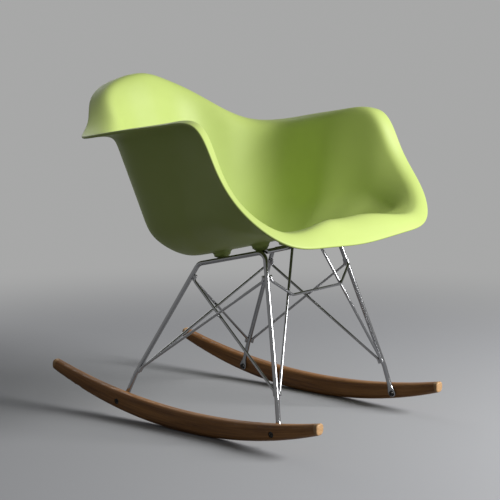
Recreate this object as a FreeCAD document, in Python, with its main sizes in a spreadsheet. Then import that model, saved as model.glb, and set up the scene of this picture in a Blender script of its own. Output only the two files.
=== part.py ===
import FreeCAD, Part
import Sketcher
import math
import os

from FreeCAD import Placement, Rotation, Vector

# Moulded plastic rocking chair: a one-piece armchair shell on a rod and wire
# base that stands on two bent wooden rockers.
# Millimetres. X runs across the chair, the front faces -Y and +Z is up.
# The origin lies on the floor under the middle of the chair, and the chair
# stands as it comes to rest, on the lowest line of its two rockers.

doc = FreeCAD.newDocument("RockingChair")
sheet = doc.addObject("Spreadsheet::Sheet", "Sizes")

SIZES = {
    # Shell outline, half of it: distances out from the middle plane, forward
    # or back from the origin, and up from the floor.
    "arm_out": 314,
    "seat_front": 301,
    "back_reach": 309,
    "front_height": 376,
    "arm_start": 128,
    "arm_front_height": 606,
    "arm_rear_height": 575,
    "back_height": 678,
    # Rolled lip: its width over the edge and how far it rises from the edge.
    "lip_front": 52,
    "lip_arm_start": 28,
    "lip_arm": 66,
    "lip_back": 42,
    "roll_front": 44,
    "roll_arm": 3,
    "roll_back": 11,
    "crown_rise": 3,
    "crown_rise_front": 13,
    # Bowl: the tilted seat plane, its heel where the walls begin, its flat
    # middle, and the wall of plastic.
    "seat_level": 345.5,
    "seat_slope": 0.26,
    "bowl_middle": -35,
    "heel_out": 199,
    "heel_long": 182,
    "heel_power": 2.25,
    "heel_corner": 0.34,
    "heel_lift": 10,
    "flat_out": 95,
    "flat_long": 85,
    "shell_wall": 5.6,
    # Moulded bosses under the seat, with their threaded inserts.
    "boss_top": 40,
    "boss_foot": 21,
    "insert_diameter": 9,
    "insert_length": 8,
    "insert_pocket": 10,
    # Rockers, measured along the bent wood, then how the chair rests on them.
    "rocker_span": 686,
    "rocker_depth": 41.5,
    "rocker_end": 21.8,
    "rocker_sag": 61.5,
    "rocker_thick": 22,
    "rocker_out": 205,
    "rocker_round": 8,
    "rocker_end_round": 3,
    "rest_angle": 2.0,
    # Side frames: thick rod bent into an inverted U with flattened feet.
    "rod_diameter": 9.5,
    "rod_bend": 18,
    "rail_out": 120,
    "rail_rear": 20,
    "rail_rear_height": 318,
    "rail_front": -147,
    "rail_front_height": 358,
    "knee_out": 180.5,
    "knee_height": 92,
    "knee_rear": 135,
    "knee_front": -224,
    "foot_rear": 157,
    "foot_front": -238,
    "eyelet_thick": 4,
    "eyelet_width": 17,
    "neck_length": 23,
    "neck_width": 11.5,
    "rod_stop": 12,
    "rod_set": 3,
    # Wires, welded along the rods.
    "wire_diameter": 5.5,
    "wire_bend": 9,
    "stub_length": 10,
    "weld_gap": 0.15,
    "upper_joint_rear": 289,
    "upper_joint_front": 305,
    "lower_joint_rear": 105,
    "lower_joint_front": 109,
    "strut_head": 43,
    "strut_overrun": 4,
    "stretcher_clear": 0.8,
    "stretcher_half": 79,
    "stretcher_height": 273,
    # Seat mounts: tabs on the rails, pads and screws.
    "mount_rear": -32,
    "mount_front": -128,
    "mount_inset": 11,
    "tab_thick": 3,
    "tab_width": 22,
    "pad_thick": 1.5,
    "pad_diameter": 20,
    "screw_diameter": 6,
    "screw_hole": 6.6,
    "screw_head": 11,
    "screw_head_top": 8,
    "screw_head_height": 3.3,
    "screw_reach": 10,
    "hex_key": 4,
    "key_depth": 2,
    # Rocker bolts: washer, bolt and the sleeve nut let into the wood.
    "bolt_diameter": 6,
    "bolt_head": 11,
    "bolt_head_top": 8.4,
    "bolt_head_height": 3.5,
    "bolt_end_gap": 2,
    "bolt_drop": 3,
    "washer_diameter": 14,
    "washer_thick": 1.2,
    "sleeve_diameter": 8.4,
    "sleeve_flange": 12,
    "sleeve_flange_thick": 2,
    "sleeve_length": 14,
    "sleeve_key": 5,
    "sleeve_key_floor": 0.5,
    "recess_depth": 3.5,
    "fit_gap": 0.15,
}

for row, (alias, size) in enumerate(SIZES.items(), start=1):
    sheet.set("A%d" % row, alias.replace("_", " "))
    sheet.set("B%d" % row, str(size))
    sheet.setAlias("B%d" % row, alias)
doc.recompute()


def size(alias):
    """Read one driving dimension from the sheet."""
    return float(sheet.get(alias))


def bind(thing, **expressions):
    """Tie properties of an object to expressions in the sheet's aliases."""
    for name, expression in expressions.items():
        for alias in sorted(SIZES, key=len, reverse=True):
            expression = expression.replace("<%s>" % alias, "Sizes." + alias)
        thing.setExpression(name, expression)
    return thing


SIDES = (("right", -1), ("left", 1))
# How far a cutting tool stands proud of the face that it cuts.
OVERCUT = 1
sub_parts = []


def hand_over(thing, name):
    """Give a finished sub-part its plain name."""
    thing.Label = name
    sub_parts.append(thing)
    return thing


# Shell surface

RING_POINTS = 48
# Places along each meridian, from the edge of the lip (0) to the flat middle
# of the seat (1): close together over the lip and the heel.
MERIDIAN_STEPS = (0, 0.03, 0.07, 0.12, 0.17, 0.22, 0.27, 0.33, 0.40, 0.48,
                  0.56, 0.63, 0.69, 0.75, 0.81, 0.87, 0.94, 1)


def rim_stations():
    """Half of the shell's edge, front to back, as points of the real outline."""
    out, front, back = size("arm_out"), -size("seat_front"), size("back_reach")
    low, start = size("front_height"), -size("arm_start")
    arm, rear, top = (size("arm_front_height"), size("arm_rear_height"),
                      size("back_height"))
    return [
        Vector(0, front + 3, low + 2),             # front middle
        Vector(132, front, low + 9),               # front quarter
        Vector(out - 85, front + 13, low + 23),    # front corner
        Vector(out - 26, front + 62, low + 76),    # foot of the arm
        Vector(out - 14, start - 50, arm - 73),    # rise of the arm
        Vector(out - 12, start, arm),              # front end of the arm
        Vector(out - 12, start + 76, arm),
        Vector(out, start + 178, arm - 15),        # widest place
        Vector(out - 8, start + 268, rear + 2),    # rear end of the arm
        Vector(out - 46, start + 316, rear + 1),   # shoulder
        Vector(out - 106, back - 77, rear + 22),
        Vector(148, back - 25, top - 42),
        Vector(78, back + 1, top - 13),
        Vector(0, back, top),                      # top of the back
    ]


def rim_points():
    """Points spaced evenly along the whole edge, by its chord length."""
    half = rim_stations()
    other = [Vector(-p.x, p.y, p.z) for p in reversed(half[1:-1])]
    ring = half + other
    lengths = [0.0]
    for start, end in zip(ring, ring[1:] + ring[:1]):
        lengths.append(lengths[-1] + (end - start).Length)
    edge = Part.BSplineCurve()
    edge.interpolate(Points=ring, PeriodicFlag=True,
                     Parameters=[length / lengths[-1] for length in lengths])
    return [edge.value(i / RING_POINTS) for i in range(RING_POINTS)]


def smooth_step(low, high, value):
    """0 below low, 1 above high, and an S-curve between them."""
    share = min(max((value - low) / (high - low), 0), 1)
    return share * share * (3 - 2 * share)


def eased(turn, *keys):
    """A size that changes smoothly round the shell.

    Each key is a place, from 0 at the front to 1 at the back, and the size
    there.
    """
    result = keys[0][1]
    for (low, before), (high, after) in zip(keys, keys[1:]):
        result += (after - before) * smooth_step(low, high, turn)
    return result


def seat_plane(y):
    """Height of the upper face of the tilted seat plane."""
    return size("seat_level") - size("seat_slope") * y


# Shares of the way down the wall, and of the way from the flat out to the
# heel, at which the meridian's poles stand. The first wall pole lies lower
# at the front and at the back.
WALL_POLES = (0.12, 0.42, 0.70, 0.85)
FIRST_POLE_FRONT, FIRST_POLE_BACK = 0.12, 0.10
SEAT_POLES = (0.53, 0.24)


def meridian(rim):
    """The curve of the upper face from one point of the edge to the flat seat.

    Its poles are the edge, the crown and knee of the lip, the wall, the heel
    and the flat.
    """
    middle = size("bowl_middle")
    reach = math.hypot(rim.x, rim.y - middle)
    out, fore = rim.x / reach, (rim.y - middle) / reach
    turn = math.atan2(abs(rim.x), -(rim.y - middle)) / math.pi
    front = eased(turn, (0.06, 1), (0.42, 0))
    back = eased(turn, (0.66, 0), (0.90, 1))
    width = eased(turn, (0.05, size("lip_front")), (0.32, size("lip_arm_start")),
                  (0.66, size("lip_arm")), (0.94, size("lip_back")))
    rise = eased(turn, (0.06, size("roll_front")), (0.34, size("roll_arm")),
                 (0.66, size("roll_arm")), (0.90, size("roll_back")))
    knee = rim + Vector(-out * width, -fore * width, rise)
    swell = size("crown_rise_front") - size("crown_rise")
    crown = (rim + knee) / 2 + Vector(0, 0, size("crown_rise") + swell * front)

    power = size("heel_power")
    heel_reach = (abs(out / size("heel_out")) ** power
                  + abs(fore / size("heel_long")) ** power) ** (-1 / power)
    heel_reach *= 1 + size("heel_corner") * eased(turn, (0.13, 0), (0.30, 1), (0.52, 0))
    flat_reach = ((out / size("flat_out")) ** 2
                  + (fore / size("flat_long")) ** 2) ** -0.5
    heel = Vector(out * heel_reach, middle + fore * heel_reach, 0)
    flat = Vector(out * flat_reach, middle + fore * flat_reach, 0)
    heel.z, flat.z = seat_plane(heel.y), seat_plane(flat.y)
    wall_foot = heel + Vector(0, 0, size("heel_lift") * (1 - front))

    first_pole = WALL_POLES[0] + FIRST_POLE_BACK * back + FIRST_POLE_FRONT * front
    wall = [knee + (wall_foot - knee) * share
            for share in (first_pole,) + WALL_POLES[1:]]
    seat = [flat + (heel - flat) * share for share in SEAT_POLES]
    curve = Part.BSplineCurve()
    curve.buildFromPoles([rim, crown, knee] + wall + seat + [flat], False, 3)
    return curve


# How far the lip's edge bulges, as a share of the wall.
LIP_BULGE = 0.4


def shell_rings():
    """Rings of the shell's section: under face, round the lip, upper face."""
    curves = [meridian(point) for point in rim_points()]
    wall = size("shell_wall")
    upper = [[curve.value(step) for curve in curves] for step in MERIDIAN_STEPS]
    lower, lip = [], []
    for step, ring in zip(MERIDIAN_STEPS, upper):
        under = []
        for i, (curve, point) in enumerate(zip(curves, ring)):
            inward = curve.tangent(step)[0]
            beside = ring[(i + 1) % RING_POINTS] - ring[i - 1]
            normal = beside.cross(inward).normalize()
            if step == 1:
                normal = Vector(0, size("seat_slope"), 1).normalize()
            under.append(point - normal * wall)
            if step == 0:
                lip.append(point - normal * wall / 2 - inward * wall * LIP_BULGE)
        lower.append(under)
    return lower[::-1] + [lip] + upper


def closed_wire(points):
    """A smooth closed curve through one ring of points."""
    curve = Part.BSplineCurve()
    curve.interpolate(Points=points, PeriodicFlag=True,
                      Parameters=[i / RING_POINTS for i in range(RING_POINTS + 1)])
    return Part.Wire(curve.toShape())


def build_skin():
    """The plain shell: two lofted faces, the round lip between, and the seat."""
    wires = [closed_wire(ring) for ring in shell_rings()]
    steps = len(MERIDIAN_STEPS)
    faces = []
    for run in (wires[:steps], wires[steps - 1:steps + 2], wires[steps + 1:]):
        faces += Part.makeLoft(run, False, False).Faces
    faces += [Part.Face(wires[0]), Part.Face(wires[-1])]
    skin_shell = Part.makeShell(faces)
    skin_shell.sewShape()
    skin = doc.addObject("Part::Feature", "ShellSkin")
    skin.Shape = Part.Solid(skin_shell)
    return skin


# Places on the base

RAIL_TILT = math.degrees(math.atan2(
    size("rail_front_height") - size("rail_rear_height"),
    size("rail_rear") - size("rail_front")))


def rail_point(y, sign=1):
    """The point of a rail's middle line at this depth."""
    share = (size("rail_rear") - y) / (size("rail_rear") - size("rail_front"))
    rise = size("rail_front_height") - size("rail_rear_height")
    return Vector(sign * size("rail_out"), y, size("rail_rear_height") + share * rise)


def mount_out():
    """Distance of a seat mount from the middle plane, set in from the rail's face."""
    return (size("rail_out") - size("rod_diameter") / 2 - size("weld_gap")
            - size("mount_inset"))


def mount_place(end, sign):
    """Placement of a seat mount: its Z runs square to the rail."""
    point = rail_point(size("mount_" + end), sign)
    point.x = sign * mount_out()
    return Placement(point, Rotation(Vector(1, 0, 0), -RAIL_TILT))


def rocker_arc_height(along):
    """Height of the middle of the wood over its lowest point, unturned."""
    half = size("rocker_span") / 2
    sag = size("rocker_sag")
    under = (half ** 2 + sag ** 2) / (2 * sag)
    over_sag = sag - size("rocker_depth") + size("rocker_end")
    over = (half ** 2 + over_sag ** 2) / (2 * over_sag)
    low = under - math.sqrt(under ** 2 - along ** 2)
    high = size("rocker_depth") + over - math.sqrt(over ** 2 - along ** 2)
    return (low + high) / 2


def rocker_place(sign):
    """Placement of a rocker: rolled forward on its arc, standing on the floor."""
    half, sag = size("rocker_span") / 2, size("rocker_sag")
    radius = (half ** 2 + sag ** 2) / (2 * sag)
    turn = Rotation(Vector(1, 0, 0), size("rest_angle"))
    centre_shift = turn.multVec(Vector(0, 0, radius - sag - size("rocker_end") / 2)).y
    low_point = turn.multVec(Vector(0, 0, -radius))
    middle = Vector(sign * size("rocker_out"), centre_shift, radius)
    return Placement(middle + low_point, turn)


def foot_point(end, sign, x=0):
    """Centre of a foot bolt, x millimetres out from the middle of the wood.

    The bolt stands a little below the middle of the wood's depth.
    """
    along = size("foot_" + end)
    local = Vector(sign * x, along, rocker_arc_height(along) - size("bolt_drop"))
    return rocker_place(sign).multVec(local)


def inner_face():
    """Distance from the middle plane to the inner face of a rocker."""
    return size("rocker_out") - size("rocker_thick") / 2


def knee_point(end, sign):
    """Where a leg turns to run down beside the rocker."""
    return Vector(sign * size("knee_out"), size("knee_" + end), size("knee_height"))


def leg_point(end, sign, height):
    """The point of a leg's middle line at this height."""
    top = rail_point(size("rail_" + end), sign)
    knee = knee_point(end, sign)
    share = (top.z - height) / (top.z - knee.z)
    return top + (knee - top) * share


# Rods and wires

def tangent_path(points, radius):
    """Straight runs joined by tangent arcs, as one wire."""
    edges = []
    start = points[0]
    for before, corner, after in zip(points, points[1:], points[2:]):
        back_way = (before - corner).normalize()
        on_way = (after - corner).normalize()
        half_angle = back_way.getAngle(on_way) / 2
        cut = radius / math.tan(half_angle)
        towards_centre = (back_way + on_way).normalize()
        arc_in, arc_out = corner + back_way * cut, corner + on_way * cut
        crest = corner + towards_centre * (radius / math.sin(half_angle) - radius)
        edges.append(Part.makeLine(start, arc_in))
        edges.append(Part.Arc(arc_in, crest, arc_out).toShape())
        start = arc_out
    edges.append(Part.makeLine(start, points[-1]))
    return Part.Wire(edges)


def bent_rod(name, points, bend, diameter):
    """A round rod swept along a bent path, its diameter bound to the sheet."""
    path = doc.addObject("Part::Feature", name + "_path")
    path.Shape = tangent_path(points, size(bend))
    profile = doc.addObject("Part::Circle", name + "_section")
    bind(profile, Radius="<%s> / 2" % diameter)
    profile.Placement = Placement(
        points[0], Rotation(Vector(0, 0, 1), points[1] - points[0]))
    rod = doc.addObject("Part::Sweep", name)
    rod.Sections = [profile]
    rod.Spine = (path, ["Edge%d" % (i + 1) for i in range(len(path.Shape.Edges))])
    rod.Solid = True
    rod.Frenet = False
    return rod


def cylinder(name, place, diameter, height):
    """A Part::Cylinder whose two sizes are expressions in the sheet."""
    round_bar = doc.addObject("Part::Cylinder", name)
    bind(round_bar, Radius="(%s) / 2" % diameter, Height=height)
    round_bar.Placement = place
    return round_bar


def joined(name, pieces):
    fused = doc.addObject("Part::MultiFuse", name)
    fused.Shapes = pieces
    return fused


def cut(name, base, tools):
    """Base less one tool, or less the union of several."""
    if len(tools) > 1:
        tool = joined(name + "_tools", tools)
    else:
        tool = tools[0]
    less = doc.addObject("Part::Cut", name)
    less.Base, less.Tool = base, tool
    return less


def across(point, sign):
    """Placement at a point with Z pointing outwards, away from the chair."""
    return Placement(point, Rotation(Vector(0, 0, 1), Vector(sign, 0, 0)))


def build_side_frame(side, sign):
    """Thick rod bent into an inverted U, its two feet pressed into eyelets."""
    face = inner_face()
    lean = face - size("eyelet_thick") - size("rod_diameter") / 2 + size("rod_set")
    ends, eyelets, holes = {}, [], []
    for end in ("rear", "front"):
        foot = foot_point(end, sign)
        knee = knee_point(end, sign)
        down = Vector(0, foot.y - knee.y, foot.z - knee.z).normalize()
        tip = foot - down * size("rod_stop")
        ends[end] = Vector(sign * lean, tip.y, tip.z)
        inside = Vector(sign * (face - size("eyelet_thick")), foot.y, foot.z)
        name = "Eyelet_%s_%s" % (side, end)
        eyelets.append(cylinder(name, across(inside, sign), "<eyelet_width>",
                                "<eyelet_thick>"))
        neck = doc.addObject("Part::Box", name + "_neck")
        bind(neck, Length="<eyelet_thick>", Width="<neck_width>",
             Height="<neck_length>")
        tilt = math.degrees(math.atan2(down.y, -down.z))
        turn = Rotation(Vector(1, 0, 0), tilt)
        corner = Vector(0 if sign > 0 else -size("eyelet_thick"),
                        -size("neck_width") / 2, 0)
        neck.Placement = Placement(inside + turn.multVec(corner), turn)
        eyelets.append(neck)
        drill = Vector(inside.x - sign * OVERCUT, foot.y, foot.z)
        holes.append(cylinder(name + "_hole", across(drill, sign),
                              "<bolt_diameter> + 2 * <fit_gap>",
                              "<eyelet_thick> + %d" % (2 * OVERCUT)))
    path = [ends["rear"], knee_point("rear", sign),
            rail_point(size("rail_rear"), sign), rail_point(size("rail_front"), sign),
            knee_point("front", sign), ends["front"]]
    rod = bent_rod("SideRod_" + side, path, "rod_bend", "rod_diameter")
    frame = joined("SideFrameSolid_" + side, [rod] + eyelets)
    return hand_over(cut("SideFrame_" + side, frame, holes), "side_frame_" + side)


def weld_reach():
    """Distance between the middle lines of a wire and the rod it is welded to."""
    return (size("rod_diameter") + size("wire_diameter")) / 2 + size("weld_gap")


def beside(end, sign, height, towards):
    """Where a wire's middle line lies against a leg, on the side named."""
    leg = (rail_point(size("rail_" + end), sign) - knee_point(end, sign)).normalize()
    off = (towards - leg * towards.dot(leg)).normalize()
    return leg_point(end, sign, height) + off * weld_reach()


def pair_shares():
    """Two wires of a crossing pair pass one in front of the other.

    The first share sets a wire that far to its own side of the leg, and the
    second keeps it on the leg's surface.
    """
    aside = (size("wire_diameter") / 2 + size("weld_gap")) / weld_reach()
    return aside, math.sqrt(1 - aside ** 2)


def stub(end, sign, height, towards, up):
    """The two points of a wire's end: its tip along the leg, then its bend."""
    rise = size("stub_length") if up else -size("stub_length")
    return [beside(end, sign, height + rise, towards),
            beside(end, sign, height, towards)]


def wire(name, start, end):
    """A wire between two stubs, whose tips lie along the legs."""
    return hand_over(bent_rod(name.title().replace("_", ""), start + end[::-1],
                              "wire_bend", "wire_diameter"), name)


def build_side_braces(side, sign):
    """The two crossing wires between the legs of one side frame."""
    top_rear, top_front = size("upper_joint_rear"), size("upper_joint_front")
    low_rear, low_front = size("lower_joint_rear"), size("lower_joint_front")
    aside, keep = pair_shares()
    inside, outside = Vector(-sign * aside, 0, 0), Vector(sign * aside, 0, 0)
    fore, aft = Vector(0, -1, 0), Vector(0, 1, 0)
    wire("side_brace_rising_" + side,
         stub("rear", sign, low_rear, outside + fore * keep, False),
         stub("front", sign, top_front, outside + aft * keep, True))
    wire("side_brace_falling_" + side,
         stub("rear", sign, top_rear, inside + fore * keep, True),
         stub("front", sign, low_front, inside + aft * keep, False))


def build_rear_braces():
    """The two crossing wires between the rear legs."""
    top, low = size("upper_joint_rear"), size("lower_joint_rear")
    aside, keep = pair_shares()
    for name, sign, shift in (("rear_brace_from_right", -1, aside),
                              ("rear_brace_from_left", 1, -aside)):
        inward = Vector(-sign * keep, shift, 0)
        wire(name, stub("rear", sign, top, inward, True),
             stub("rear", -sign, low, Vector(sign * keep, shift, 0), False))


def bar_point():
    """Middle of the front cross bar."""
    return rail_point(size("rail_front"), 0)


# Ways, seen from above, in which the front wires lie against their legs: for
# each step sideways, this much forward or this much inward.
STRUT_FORWARD = 0.35
STRETCHER_INWARD = 0.6


def build_front_wires():
    """Cross bar, the two struts that hang from it, and the U stretcher."""
    middle = bar_point()
    reach = size("rail_out") - size("rod_diameter") / 2 - size("weld_gap")
    bar = cylinder("FrontCrossBar",
                   across(middle - Vector(reach, 0, 0), 1), "<rod_diameter>",
                   "2 * (<rail_out> - <rod_diameter> / 2 - <weld_gap>)")
    hand_over(bar, "front_cross_bar")
    crossing = {}
    for side, sign in SIDES:
        foot = stub("front", sign, size("lower_joint_front"),
                    Vector(-sign, -STRUT_FORWARD, 0), False)
        under_bar = Vector(sign * size("strut_head"), middle.y - weld_reach(),
                           middle.z)
        way = (under_bar - foot[1]).normalize()
        top = under_bar + way * size("strut_overrun")
        path = foot + [top]
        hand_over(bent_rod("FrontStrut_" + side, path, "wire_bend",
                           "wire_diameter"), "front_strut_" + side)
        share = (size("stretcher_height") - foot[1].z) / (top.z - foot[1].z)
        crossing[side] = foot[1] + (top - foot[1]) * share
    ahead = size("wire_diameter") + size("stretcher_clear")
    right, left = [stub("front", sign, size("upper_joint_front"),
                        Vector(-sign * STRETCHER_INWARD, -1, 0), True)
                   for side, sign in SIDES]
    corner = Vector(size("stretcher_half"), crossing["left"].y - ahead,
                    size("stretcher_height"))
    path = right + [Vector(-corner.x, corner.y, corner.z), corner] + left[::-1]
    hand_over(bent_rod("FrontStretcher", path, "wire_bend", "wire_diameter"),
              "front_stretcher")


# Seat mounts

def raised(place, height):
    """The same placement, moved along its own Z."""
    return place.multiply(Placement(Vector(0, 0, height), Rotation()))


def boss_bottom():
    """Height of a boss's foot over the middle of its rail."""
    return size("tab_thick") / 2 + size("pad_thick")


def build_shell():
    """Armchair shell with four tapered bosses moulded under the seat."""
    solids, pockets = [build_skin()], []
    for end in ("front", "rear"):
        for side, sign in SIDES:
            place = mount_place(end, sign)
            roof = seat_plane(place.Base.y) - size("shell_wall") / 2
            height = (roof - place.Base.z) * math.cos(math.radians(RAIL_TILT))
            boss = doc.addObject("Part::Cone", "Boss_%s_%s" % (end, side))
            bind(boss, Radius1="<boss_foot> / 2", Radius2="<boss_top> / 2")
            boss.Height = height - boss_bottom()
            boss.Placement = raised(place, boss_bottom())
            solids.append(boss)
            pockets.append(cylinder("Pocket_%s_%s" % (end, side),
                                    raised(place, boss_bottom() - OVERCUT),
                                    "<insert_diameter> + 2 * <fit_gap>",
                                    "<insert_pocket> + %d" % OVERCUT))
    return hand_over(cut("SeatShell", joined("ShellWithBosses", solids), pockets),
                     "seat_shell")


def build_mount(end, side, sign):
    """Tab welded to the rail, pad, threaded insert and the screw through them."""
    place = mount_place(end, sign)
    tag = "%s_%s" % (end, side)
    under = raised(place, -size("tab_thick") / 2)

    away = Placement(Vector(), Rotation(Vector(0, 0, 1), 90 * sign))
    tip = cylinder("TabTip_" + tag, under.multiply(away), "<tab_width>", "<tab_thick>")
    tip.Angle = 180
    arm = doc.addObject("Part::Box", "TabArm_" + tag)
    bind(arm, Width="<tab_width>", Height="<tab_thick>", Length="<mount_inset>")
    shift = 0 if sign > 0 else -size("mount_inset")
    arm.Placement = under.multiply(
        Placement(Vector(shift, -size("tab_width") / 2, 0), Rotation()))
    hole = cylinder("TabHole_" + tag, raised(under, -OVERCUT), "<screw_hole>",
                    "<tab_thick> + %d" % (2 * OVERCUT))
    hand_over(cut("MountTab_" + tag, joined("TabSolid_" + tag, [tip, arm]), [hole]),
              "mount_tab_" + tag)

    over = raised(place, size("tab_thick") / 2)
    pad = cylinder("PadDisc_" + tag, over, "<pad_diameter>", "<pad_thick>")
    pad_hole = cylinder("PadHole_" + tag, raised(over, -OVERCUT), "<screw_hole>",
                        "<pad_thick> + %d" % (2 * OVERCUT))
    hand_over(cut("Pad_" + tag, pad, [pad_hole]), "seat_pad_" + tag)

    foot = raised(place, boss_bottom())
    sleeve = cylinder("InsertBody_" + tag, foot, "<insert_diameter>",
                      "<insert_length>")
    bore = cylinder("InsertBore_" + tag, raised(foot, -OVERCUT),
                    "<screw_diameter> + 2 * <fit_gap>",
                    "<insert_length> + %d" % (2 * OVERCUT))
    hand_over(cut("Insert_" + tag, sleeve, [bore]), "boss_insert_" + tag)

    shank = cylinder("ScrewShank_" + tag, raised(under, -size("screw_head_height") / 2),
                     "<screw_diameter>", "<screw_reach> + <screw_head_height> / 2")
    head_place = raised(under, -size("screw_head_height"))
    head = doc.addObject("Part::Cone", "ScrewHead_" + tag)
    bind(head, Radius1="<screw_head_top> / 2", Radius2="<screw_head> / 2",
         Height="<screw_head_height>")
    head.Placement = head_place
    key = doc.addObject("Part::Prism", "ScrewKey_" + tag)
    bind(key, Circumradius="<hex_key> / sqrt(3)",
         Height="<key_depth> + %d" % OVERCUT)
    key.Placement = raised(head_place, -OVERCUT)
    hand_over(cut("SeatScrew_" + tag, joined("ScrewSolid_" + tag, [shank, head]), [key]),
              "seat_screw_" + tag)


# Rockers

def sketch_on(body, role, name):
    """A sketch on one of a body's own origin planes."""
    sketch = body.newObject("Sketcher::SketchObject", name)
    plane = [f for f in body.Origin.OriginFeatures if f.Role == role][0]
    sketch.AttachmentSupport = [(plane, "")]
    sketch.MapMode = "FlatFace"
    return sketch


def bound(sketch, expression, constraint):
    """Add a driving constraint tied to an expression in the sheet."""
    number = sketch.addConstraint(constraint)
    bind(sketch, **{"Constraints[%d]" % number: expression})


def build_rocker(side, sign):
    """Bent wood: arcs above and below meet square ends, then all is rounded."""
    half, sag = size("rocker_span") / 2, size("rocker_sag")
    depth, end = size("rocker_depth"), size("rocker_end")
    body = doc.addObject("PartDesign::Body", "Rocker_" + side)
    sketch = sketch_on(body, "YZ_Plane", "RockerOutline_" + side)
    corners = [Vector(-half, sag, 0), Vector(half, sag, 0),
               Vector(half, sag + end, 0), Vector(-half, sag + end, 0)]
    under = sketch.addGeometry(
        Part.Arc(corners[0], Vector(0, 0, 0), corners[1]))
    rear = sketch.addGeometry(Part.LineSegment(corners[1], corners[2]))
    over = sketch.addGeometry(
        Part.Arc(corners[3], Vector(0, depth, 0), corners[2]))
    front = sketch.addGeometry(Part.LineSegment(corners[3], corners[0]))
    for first, first_end, second, second_end in (
            (under, 2, rear, 1), (rear, 2, over, 2), (over, 1, front, 1),
            (front, 2, under, 1)):
        sketch.addConstraint(
            Sketcher.Constraint("Coincident", first, first_end, second, second_end))
    for curve in (under, over):
        sketch.addConstraint(Sketcher.Constraint("PointOnObject", curve, 3, -2))
    sketch.addConstraint(Sketcher.Constraint("PointOnObject", -1, 1, under))
    for line in (rear, front):
        sketch.addConstraint(Sketcher.Constraint("Vertical", line))
    sketch.addConstraint(Sketcher.Constraint("Symmetric", under, 1, under, 2, -2))
    bound(sketch, "<rocker_span>",
          Sketcher.Constraint("DistanceX", under, 1, under, 2, 2 * half))
    bound(sketch, "<rocker_sag>",
          Sketcher.Constraint("DistanceY", -1, 1, under, 2, sag))
    bound(sketch, "<rocker_end>",
          Sketcher.Constraint("DistanceY", rear, 1, rear, 2, end))
    crest = sketch.addGeometry(Part.Point(Vector(0, depth, 0)), True)
    sketch.addConstraint(Sketcher.Constraint("PointOnObject", crest, 1, -2))
    sketch.addConstraint(Sketcher.Constraint("PointOnObject", crest, 1, over))
    bound(sketch, "<rocker_depth>",
          Sketcher.Constraint("DistanceY", -1, 1, crest, 1, depth))
    plank = body.newObject("PartDesign::Pad", "RockerWood_" + side)
    plank.Profile = sketch
    bind(plank, Length="<rocker_thick>")
    plank.SideType = "Symmetric"
    doc.recompute()

    long_edges = ["Edge%d" % (i + 1) for i, edge in enumerate(plank.Shape.Edges)
                  if edge.Length > half]
    rounded = body.newObject("PartDesign::Fillet", "RockerRound_" + side)
    rounded.Base = (plank, long_edges)
    bind(rounded, Radius="<rocker_round>")
    doc.recompute()
    faces = [face for face in rounded.Shape.Faces
             if face.Surface.TypeId == "Part::GeomPlane"
             and abs(face.normalAt(0, 0).y) > 0.99]
    end_edges = [edge for face in faces for edge in face.Edges]
    names = ["Edge%d" % (i + 1) for i, edge in enumerate(rounded.Shape.Edges)
             if any(edge.isSame(other) for other in end_edges)]
    softened = body.newObject("PartDesign::Fillet", "RockerEnds_" + side)
    softened.Base = (rounded, names)
    bind(softened, Radius="<rocker_end_round>")
    body.Placement = rocker_place(sign)

    holes = []
    inside = -size("rocker_thick") / 2 - OVERCUT
    for place in ("front", "rear"):
        tag = "%s_%s" % (place, side)
        holes.append(cylinder("BoltHole_" + tag,
                              across(foot_point(place, sign, inside), sign),
                              "<sleeve_diameter> + 2 * <fit_gap>",
                              "<rocker_thick> + %d" % (2 * OVERCUT)))
        floor = size("rocker_thick") / 2 - size("recess_depth")
        holes.append(cylinder("Recess_" + tag,
                              across(foot_point(place, sign, floor), sign),
                              "<sleeve_flange> + 2 * <fit_gap>",
                              "<recess_depth> + %d" % OVERCUT))
    return hand_over(cut("DrilledRocker_" + side, body, holes), "rocker_" + side)


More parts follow.
